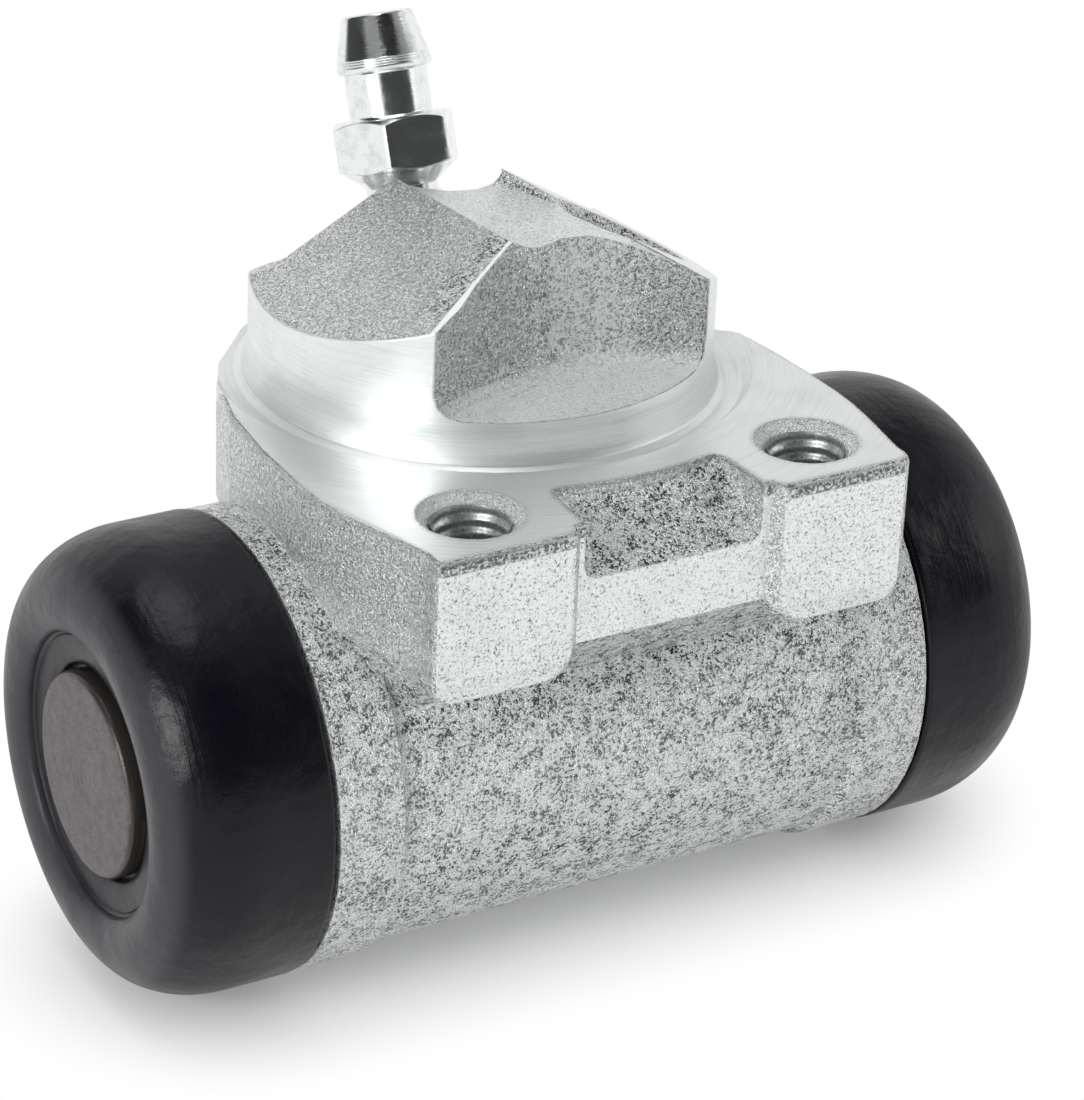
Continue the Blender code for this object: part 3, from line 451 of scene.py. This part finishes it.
# Boots. Two moulded rubber cups, each beaded into a groove in the housing's nose and into a groove in its
# piston. They keep out dust.
boot_outer = 16.5
boot_crest_x = 35.1
boot_crest = 12.0
boot_rim = 10.0
boot_back_x = 23.8
boot_shoulder = 6.4
boot_wall = 2.2
boot_held_x = 0.0280
boot_pulled_x = 0.0335
boot_steps = 128
bore_middle = Matrix.Translation((0, bore_y, bore_z))
end_frames = {
    "left": bore_middle @ Matrix.Rotation(-pi / 2, 4, "Y"),
    "right": bore_middle @ Matrix.Rotation(pi / 2, 4, "Y"),
}


def bow(centre, radii, start_degrees, end_degrees, steps):
    """Points of an elliptical arc."""
    points = []
    for i in range(steps + 1):
        turn = radians(start_degrees + (end_degrees - start_degrees) * i / steps)
        points.append((centre[0] + radii[0] * cos(turn), centre[1] + radii[1] * sin(turn)))
    return points


def boot_section():
    """From the piston's groove over the crest, down the outside to the nose's groove, and back inside."""
    dish = boot_crest_x - 0.9
    inner = boot_outer - boot_wall
    shoulder_x = boot_crest_x - boot_shoulder
    section = [(7.6, 33.5), (7.8, 33.72), (8.3, 33.86), (9.0, 33.92), (9.55, 33.95)]
    section += [(9.70, 33.95), (9.78, 33.88), (9.86, 33.95), (10.0, 34.06)]
    section += bow((boot_crest, dish), (boot_crest - boot_rim, 0.9), 165, 90, 8)
    section += bow((boot_crest, shoulder_x), (boot_outer - boot_crest, boot_shoulder), 86, 0, 20)
    section += [(boot_outer, 27.0), (boot_outer, 25.5), (boot_outer, boot_back_x + 0.45)]
    section += bow((boot_outer - 0.35, boot_back_x + 0.35), (0.35, 0.35), 0, -90, 4)
    section += [(13.9, boot_back_x), (13.9, 25.4), (13.0, 25.4), (13.0, 27.2), (13.9, 27.2)]
    section += [(13.9, 29.8), (inner, 30.2)]
    section += bow((boot_crest, shoulder_x), (inner - boot_crest, boot_shoulder - boot_wall), 25, 90, 6)
    section += [(11.2, 32.0), (9.6, 31.6), (6.9, 31.6), (6.9, 33.0), (7.6, 33.0)]
    return section


def bore_wires(place):
    """Wires for a part on the bore: depth from the middle, and radius and angle about the bore's axis."""
    x, y, z = place.split()
    across = y - bore_y * 1000
    upward = z - bore_z * 1000
    return x.size(), (across * across + upward * upward) ** 0.5, upward.math("ARCTAN2", upward, across)


rubber, place = new_material("moulded_rubber")
x, y, z = place.split()
depth, radius, angle = bore_wires(place)
mould_lines = place.join(radius * 3.2, angle * 0.7, depth * 3.2).noise(1.0, 3.0, 0.6)
bloom = place.join(x * 0.10, y * 0.16, z * 0.12).noise(1.0, 2.0, 0.5)
skin_grain = place.noise(5.0, 2.0, 0.6)
lumps = place.noise(0.45, 2.0, 0.5)
# The boot's end face is painted a lighter grey: a painted sheen where light falls on it.
on_end = depth.step(33.4, 34.6)
black = bloom.step(0.35, 0.75).blend((0.0030, 0.0030, 0.0060, 1), (0.009, 0.0088, 0.0135, 1))
black = (on_end * 0.8).blend(black, (0.050, 0.049, 0.055, 1))
polish = 0.22 + bloom.step(0.3, 0.7) * 0.16 + skin_grain * 0.12
height = mould_lines * 0.022 + skin_grain * 0.016 + lumps * 0.13
relief = place.node("Bump", None, {"Height": height, "Distance": 0.001, "Strength": 1.0})
plug(rubber, Base_Color=black, Roughness=polish, Normal=relief)
rubber.node_tree.nodes["Principled BSDF"].inputs["Specular IOR Level"].default_value = 0.26
section = boot_section()
for side, sign in (("left", -1), ("right", 1)):
    rings = [ring(end_frames[side], r, h, boot_steps) for r, h in section]
    boot = skin(side + "_boot_cover", rings + [rings[0]], 40.0, False)
    shape = bmesh.new()
    shape.from_mesh(boot.data)
    bmesh.ops.remove_doubles(shape, verts=shape.verts, dist=1e-6)
    bmesh.ops.recalc_face_normals(shape, faces=shape.faces)
    shape.to_mesh(boot.data)
    shape.free()
    boot.data.materials.append(rubber)
    start = (sign * boot_held_x, bore_y, bore_z)
    end = (sign * boot_pulled_x, bore_y, bore_z)
    side + "_piston_group"
    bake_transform(boot)
    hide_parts(side + "_boot")

# Pistons. Two turned plungers, darkened by anodising, whose stubs stand just proud of the boots. The end
# face keeps the lathe's fine rings and the small pip at its middle. They slide in the bore.
piston_steps = 128
piston_profile = [
    (0.001, 34.64), (0.35, 34.64), (0.6, 34.70), (3.5, 34.70), (6.6, 34.70), (6.95, 34.68), (7.12, 34.60),
    (7.24, 34.46), (7.30, 34.28), (7.30, 33.30), (6.6, 33.30), (6.6, 31.30), (7.3, 31.30), (7.3, 28.60),
    (9.4, 28.60), (9.75, 28.48), (10.0, 28.0), (10.0, 15.8), (9.75, 15.32), (9.4, 15.2), (0.001, 15.2),
]
anodised, place = new_material("dark_turned_metal")
depth, radius, angle = bore_wires(place)
lathe_rings = place.join(radius * 5.0, angle * 0.4, depth * 5.0).noise(1.0, 2.0, 0.6)
whorl = (radius * 9.0 + angle * 0.5).math("SINE", radius * 9.0) * radius.step(1.9, 2.4, 1.0, 0.0)
scuffs = place.noise(1.1, 4.0, 0.65)
pores = place.noise(6.0, 2.0, 0.6)
on_wall = radius.step(6.9, 7.25)
bronze = (lathe_rings.step(0.55, 0.8) * on_wall).blend((0.058, 0.050, 0.047, 1), (0.30, 0.20, 0.11, 1))
tone = (scuffs * 0.5 + pores * 0.5).step(0.32, 0.68)
tone = tone.blend((0.082, 0.073, 0.077, 1), (0.180, 0.162, 0.170, 1))
shade = on_wall.blend(tone, bronze)
height = lathe_rings * 0.004 + whorl * 0.009 + scuffs * 0.010 + pores * 0.016
relief = place.node("Bump", None, {"Height": height, "Distance": 0.001, "Strength": 1.0})
polish = 0.46 + scuffs * 0.12 - on_wall * 0.20
plug(anodised, Base_Color=shade, Metallic=0.55, Roughness=polish, Normal=relief)
for side in ("left", "right"):
    rings = [ring(end_frames[side], r, h, piston_steps) for r, h in piston_profile]
    piston = skin(side + "_plunger", rings, 32.0)
    piston.data.materials.append(anodised)
    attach(piston, side + "_piston_group")
    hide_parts(side + "_piston")

# Cup seals and cup expanders. A rubber cup seals each piston, and a pressed steel dish with a yellow
# passivated finish spreads the cup's lip and centres the spring. All lie hidden in the bore.
cup_rubber, place = new_material("cup_rubber")
wipe = place.noise(2.0, 2.0, 0.5)
black = wipe.blend((0.018, 0.018, 0.018, 1), (0.035, 0.034, 0.033, 1))
plug(cup_rubber, Base_Color=black, Roughness=0.42 + wipe * 0.2)
pressed_steel, place = new_material("yellow_passivated_steel")
film = place.noise(0.6, 3.0, 0.6)
yellow = film.step(0.35, 0.65).blend((0.60, 0.50, 0.22, 1), (0.52, 0.55, 0.40, 1))
plug(pressed_steel, Base_Color=yellow, Metallic=0.95, Roughness=0.26 + film * 0.15)
for side in ("left", "right"):
    for node, surface in ((side + "_cup_seal", cup_rubber), (side + "_cup_expander", pressed_steel)):
        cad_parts[node].data.materials.clear()
        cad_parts[node].data.materials.append(surface)

# Return spring. Drawn steel wire, wound with closed ends, that stands between the two cup expanders and
# keeps the cups apart. It is made as two halves.
spring_length = 23.6
spring_wire = 1.1
spring_coil = 10.8
spring_turns = 6.5
spring_closed = 0.9
spring_pulled_x = 0.0113
spring_turn_steps = 32
spring_wire_steps = 12


def spring_centre(turn):
    """A point on the wire's centreline, in millimetres along the bore from the middle."""
    length = spring_length - spring_wire
    rise = spring_closed * spring_wire * 1.15
    from_end = min(turn, spring_turns - turn)
    if from_end <= spring_closed:
        along = rise * from_end / spring_closed
        along = along if turn < spring_turns / 2 else length - along
    else:
        along = rise + (length - 2 * rise) * (turn - spring_closed) / (spring_turns - 2 * spring_closed)
    coil = (spring_coil - spring_wire) / 2
    return Vector((coil * cos(2 * pi * turn), coil * sin(2 * pi * turn), along - length / 2))


drawn_wire, place = new_material("drawn_spring_wire")
mill_scale = place.noise(1.6, 3.0, 0.6)
grey = mill_scale.step(0.3, 0.7).blend((0.24, 0.24, 0.25, 1), (0.42, 0.42, 0.43, 1))
plug(drawn_wire, Base_Color=grey, Metallic=1.0, Roughness=0.24 + mill_scale * 0.2)
for side, first, last in (("left", 0.0, spring_turns / 2), ("right", spring_turns / 2, spring_turns)):
    count = ceil((last - first) * spring_turn_steps)
    rings = []
    for i in range(count + 1):
        turn = first + (last - first) * i / count
        centre = spring_centre(turn)
        ahead = spring_centre(min(turn + 0.01, spring_turns)) - spring_centre(max(turn - 0.01, 0.0))
        ahead.normalize()
        outward = Vector((cos(2 * pi * turn), sin(2 * pi * turn), 0))
        outward = (outward - ahead * outward.dot(ahead)).normalized()
        third = ahead.cross(outward)
        points = []
        for j in range(spring_wire_steps):
            a = 2 * pi * j / spring_wire_steps
            spot = centre + (outward * cos(a) + third * sin(a)) * (spring_wire / 2)
            points.append(end_frames["right"] @ (spot * 0.001))
        rings.append(points)
    half = skin(side + "_spring_half", rings, 60.0)
    half.data.materials.append(drawn_wire)
    sign = -1 if side == "left" else 1
    start = (0, bore_y, bore_z)
    end = (sign * spring_pulled_x, bore_y, bore_z)
    side + "_piston_group"
    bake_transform(half)
    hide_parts("return_spring")

# Bleed screw. Turned from hexagon bar and bright zinc plated. Its cone seals in the housing, and air leaves
# through the drilled middle and the barbed nipple. It is screwed in behind the spigot's slopes.
bleeder_frame = Matrix.Translation((0, 0.0121, 0.0084)) @ Matrix.Rotation(-radians(21.0), 4, "X")
hexagon_across = 8.2
hexagon_turn = radians(-4.0)
hexagon_foot = 1.2
hexagon_top = 5.0
neck_radius = 3.0
barb_foot = 8.4
barb_radius = 3.45
bleeder_steps = 96
bleeder_top = 12.5
bleeder_edge_radius = 0.00012


def hexagon_radius(turn):
    """Distance to the hexagon's side, with its corners just rounded."""
    from_flat = (turn - hexagon_turn) % (pi / 3) - pi / 6
    return min(hexagon_across / 2 / cos(from_flat), hexagon_across / 2 * 1.135)


def chamfer_drop(turn):
    """How far the corner chamfer reaches along the screw at this angle."""
    return (hexagon_radius(turn) - hexagon_across / 2 + 0.05) * 0.62


rows = [
    (0.95, bleeder_top - 3.0), (0.95, bleeder_top - 0.25), (1.05, bleeder_top - 0.08), (1.25, bleeder_top),
    (2.35, bleeder_top), (2.52, bleeder_top - 0.06), (2.62, bleeder_top - 0.22),
    (3.33, barb_foot + 1.02), (3.39, barb_foot + 0.94), (3.34, barb_foot + 0.86), (3.42, barb_foot + 0.78),
    (3.36, barb_foot + 0.68), (3.44, barb_foot + 0.60), (3.38, barb_foot + 0.50), (barb_radius, barb_foot + 0.42),
    (barb_radius, barb_foot + 0.22), (3.38, barb_foot + 0.06), (3.22, barb_foot), (neck_radius + 0.1, barb_foot),
    (neck_radius, barb_foot - 0.12), (neck_radius, hexagon_top + 0.2), (neck_radius + 0.12, hexagon_top + 0.04),
    (neck_radius + 0.3, hexagon_top), (hexagon_across / 2 - 0.12, hexagon_top),
    (hexagon_across / 2 - 0.04, hexagon_top - 0.02),
    (hexagon_radius, lambda turn: hexagon_top - chamfer_drop(turn)),
    (hexagon_radius, lambda turn: hexagon_top - chamfer_drop(turn) - 0.06),
    (hexagon_radius, lambda turn: hexagon_foot + chamfer_drop(turn) + 0.06),
    (hexagon_radius, lambda turn: hexagon_foot + chamfer_drop(turn)),
    (hexagon_across / 2 - 0.04, hexagon_foot + 0.02), (hexagon_across / 2 - 0.12, hexagon_foot),
    (2.66, 0.08), (2.6, 0.0), (2.6, -0.5), (2.75, -0.62),
]
rings = [ring(bleeder_frame, r, h, bleeder_steps) for r, h in rows]
rings += thread_rings(bleeder_frame, -0.65, -8.0, 1.0, 2.78, 3.2, bleeder_steps)
rings += [ring(bleeder_frame, r, h, bleeder_steps) for r, h in ((2.78, -8.05), (2.78, -12.0), (1.3, -13.6))]
bright_zinc, place = new_material("bright_zinc_steel")
to_screw = bleeder_frame.inverted()
x, y, z = place.split()
along = y * to_screw[2][1] + z * to_screw[2][2]
tool = place.join(along * 6.0, 1.0, x * 0.4).noise(1.0, 3.0, 0.6)
stain = place.noise(0.9, 3.0, 0.6)
speckle = place.noise(5.5, 2.0, 0.6)
dull = stain.step(0.42, 0.72) * 0.5 + speckle.step(0.58, 0.72) * 0.5
height = tool * 0.008 + speckle * 0.006
rounded = place.node("Bevel", {"samples": 4}, {"Radius": bleeder_edge_radius})
relief = place.node("Bump", None, {"Height": height, "Distance": 0.001, "Strength": 1.0, "Normal": rounded})
zinc = dull.blend((0.86, 0.88, 0.88, 1), (0.56, 0.60, 0.60, 1))
plug(bright_zinc, Base_Color=zinc, Metallic=1.0, Roughness=0.14 + dull * 0.16, Normal=relief)
nipple = skin("bleed_nipple", rings, 30.0)
nipple.data.materials.append(bright_zinc)
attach(nipple, "bleed_screw")
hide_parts("bleed_screw")

# Floor and backdrop. A plain white table that the boots and barrel rest on, and white paper behind it. The
# table shows the soft shadow near the object and fades to paper white further out.
floor_level = -0.0382
floor_half = 0.8
resting_half = 24.0
shadow_foot = 6.0
shadow_reach = 20.0
floor_white = 0.20

table_mesh = bpy.data.meshes.new("table_top")
corners = [(along * floor_half, across * floor_half, floor_level)
           for along, across in ((-1, -1), (1, -1), (1, 1), (-1, 1))]
table_mesh.from_pydata(corners, [], [(0, 1, 2, 3)])
table_top = bpy.data.objects.new("table_top", table_mesh)
bpy.context.scene.collection.objects.link(table_top)
paper, place = new_material("white_paper")
x, y, z = place.split()
past_end = (x.size() - resting_half).most(0.0)
from_bore = y - bore_y * 1000
away = (past_end * past_end + from_bore * from_bore) ** 0.5


def light_path(wire):
    """Whether a ray comes from the camera, from a mirror-like surface, or through glass."""
    return [wire.node("LightPath", None, None, output) for output in (0, 3, 6)]


looks, mirrored, passed = light_path(place)
seen = looks.most(mirrored).most(passed)
white = seen * (floor_white + away.step(shadow_foot, shadow_reach) * (1 - floor_white))
tooth = place.noise(0.4, 2.0, 0.5)
nodes = paper.node_tree.nodes
plug(paper, Base_Color=tooth.blend((0.90, 0.90, 0.90, 1), (0.92, 0.92, 0.92, 1)), Roughness=0.9)
nodes["Principled BSDF"].inputs["Specular IOR Level"].default_value = 0.1
glow = nodes.new("ShaderNodeEmission")
faded = nodes.new("ShaderNodeMixShader")
paper.node_tree.links.new(white.socket, faded.inputs[0])
paper.node_tree.links.new(nodes["Principled BSDF"].outputs[0], faded.inputs[1])
paper.node_tree.links.new(glow.outputs[0], faded.inputs[2])
paper.node_tree.links.new(faded.outputs[0], nodes["Material Output"].inputs[0])
table_mesh.materials.append(paper)

# Room. White walls that light the object softly and show as paper white, with a darker gap in front of the
# table and one to its left. Only shiny metal shows those gaps, as it does in a photographer's studio.
room_light = 0.62
world = bpy.data.worlds.new("studio")
world.use_nodes = True
bpy.context.scene.world = world
sky = Wire(world.node_tree)
direction = sky.node("TexCoord", None, None, 0)
side_x, side_y, up_z = direction.split()
heading = side_x.math("ARCTAN2", side_x, 0 - side_y)
dark_front = heading.within(radians(0), radians(42), radians(8))
dark_left = heading.within(radians(-122), radians(22), radians(10))
dark_wall = dark_front.most(dark_left) * up_z.step(0.02, 0.14)
room = room_light - up_z.step(0.30, 0.90) * 0.25
mirror = (1 - up_z.step(0.42, 0.80) * 0.72) * (1 - dark_wall * 0.95)
looks, mirrored, passed = light_path(sky)
reflected = mirrored.most(passed)
level = looks + (1 - looks) * (reflected * mirror + (1 - reflected) * room)
background = world.node_tree.nodes["Background"]
world.node_tree.links.new(level.socket, background.inputs["Strength"])
background.inputs["Color"].default_value = (1, 1, 1, 1)

# Lamps. Three softboxes that all face the object: a main one to the left, a weak one in front to the right
# that lifts the shadows, and a large one overhead.
lamps_face = Vector((0, -0.005, -0.01))
softboxes = (
    ("left_softbox", (-0.52, -0.20, 0.20), 0.23, 1.45),
    ("front_right_softbox", (0.46, -0.26, 0.30), 0.30, 0.35),
    ("overhead_softbox", (-0.06, 0.10, 0.55), 0.34, 0.95),
)
for name, spot, size, power in softboxes:
    lamp = bpy.data.lights.new(name, "AREA")
    lamp.shape = "SQUARE"
    lamp.size = size
    lamp.energy = power
    stand = bpy.data.objects.new(name, lamp)
    stand.location = spot
    stand.rotation_mode = "QUATERNION"
    stand.rotation_quaternion = (Vector(spot) - lamps_face).to_track_quat("Z", "Y")
    bpy.context.scene.collection.objects.link(stand)
